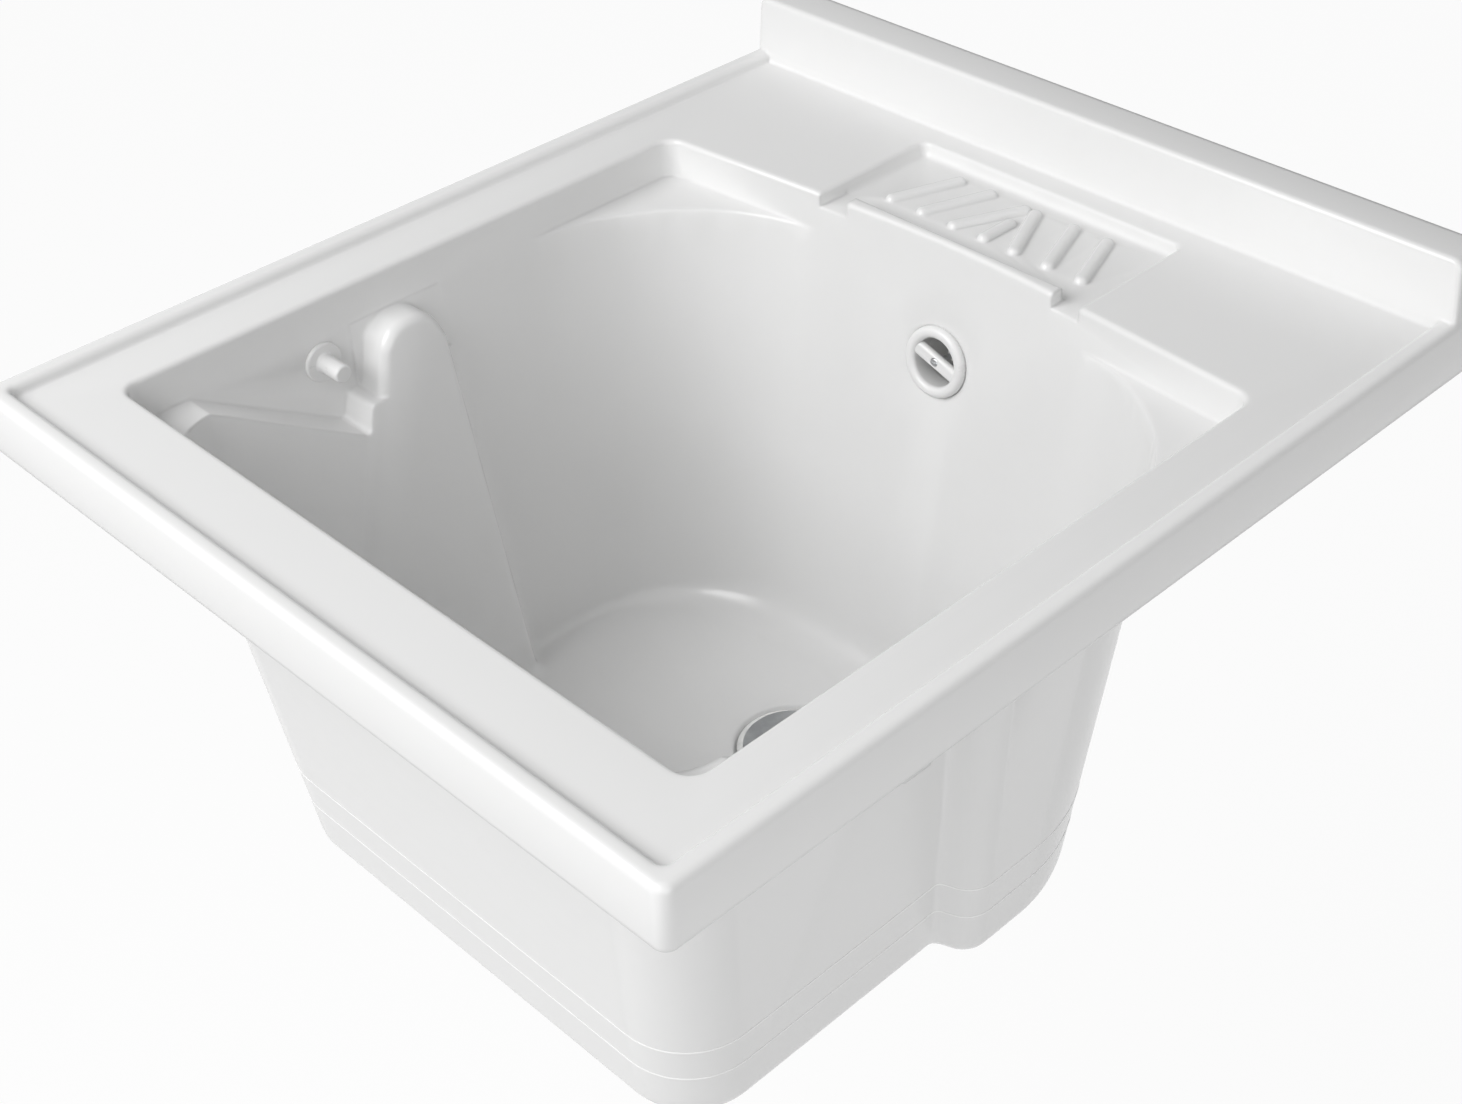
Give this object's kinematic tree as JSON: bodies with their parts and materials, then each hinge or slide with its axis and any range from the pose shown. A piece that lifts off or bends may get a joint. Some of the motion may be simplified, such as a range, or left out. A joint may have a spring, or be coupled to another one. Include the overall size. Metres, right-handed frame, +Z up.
{
  "type": "laundry sink",
  "caption": "Deep white laundry sink with a bead-edged deck, backsplash, ribbed soap dish, stepped washboard ledges with pegs, overflow and strainer waste.",
  "frame": {"origin": "middle of the front strip of the deck's underside, where the rim sits on a cabinet's front rail", "axes": "+X to the right seen from the front, +Y to the wall, +Z up"},
  "size_m": [0.52, 0.6, 0.42],
  "materials": {
    "moulded_resin": "glossy white moulded resin",
    "peg_plastic": "glossy white nylon",
    "plumbing_plastic": "matt white polypropylene",
    "seal_rubber": "black rubber",
    "plug_rubber": "grey rubber",
    "fixing_steel": "zinc-plated steel",
    "strainer_steel": "polished stainless steel"
  },
  "bodies": {
    "sink": {"basin": "moulded_resin", "board_peg_left": "peg_plastic", "board_peg_right": "peg_plastic", "peg_washer_left": "fixing_steel", "peg_washer_right": "fixing_steel", "peg_nut_left": "fixing_steel", "peg_nut_right": "fixing_steel", "overflow_rose": "peg_plastic", "overflow_screw": "fixing_steel", "overflow_gasket": "seal_rubber", "overflow_elbow": "plumbing_plastic", "overflow_pipe": "plumbing_plastic", "pipe_seal_upper": "seal_rubber", "pipe_nut_upper": "plumbing_plastic", "pipe_seal_lower": "seal_rubber", "pipe_nut_lower": "plumbing_plastic", "waste_flange": "strainer_steel", "waste_screw": "strainer_steel", "waste_gasket_upper": "seal_rubber", "waste_gasket_lower": "seal_rubber", "waste_body": "plumbing_plastic"},
    "plug": {"drain_plug": "plug_rubber"}
  },
  "joints": [
    {"name": "plug_lift", "type": "slide", "parent": "sink", "child": "plug", "axis": [0, 0, 1], "range_m": [0, 0.34]}
  ]
}
